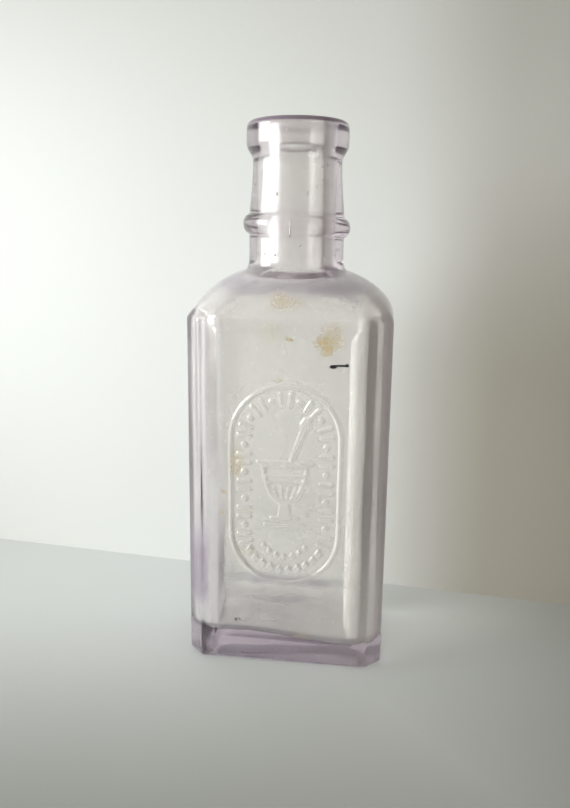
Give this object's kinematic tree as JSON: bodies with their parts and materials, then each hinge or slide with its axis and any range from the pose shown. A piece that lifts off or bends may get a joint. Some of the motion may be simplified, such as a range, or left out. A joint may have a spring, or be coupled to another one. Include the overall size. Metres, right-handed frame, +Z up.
{
  "type": "medicine bottle",
  "caption": "Small flat glass medicine bottle with cut corners, a sunk front panel, rounded shoulders, a ringed neck and a plain open lip.",
  "frame": {"origin": "middle of the flat base, on the surface that the bottle stands on", "axes": "+Z up along the neck, +X to the right across the front, the sunk front panel faces -Y"},
  "size_m": [0.0482, 0.0338, 0.13],
  "materials": {
    "vessel_glass": "clear blown glass, fire polished, with a trace of amethyst that deepens in the thick base",
    "ring_glass": "clear glass, fire polished, trace of amethyst",
    "lip_glass": "clear glass, tooled smooth, trace of amethyst"
  },
  "bodies": {
    "root": {"vessel": "vessel_glass", "neck_ring": "ring_glass", "lip": "lip_glass"}
  },
  "joints": []
}
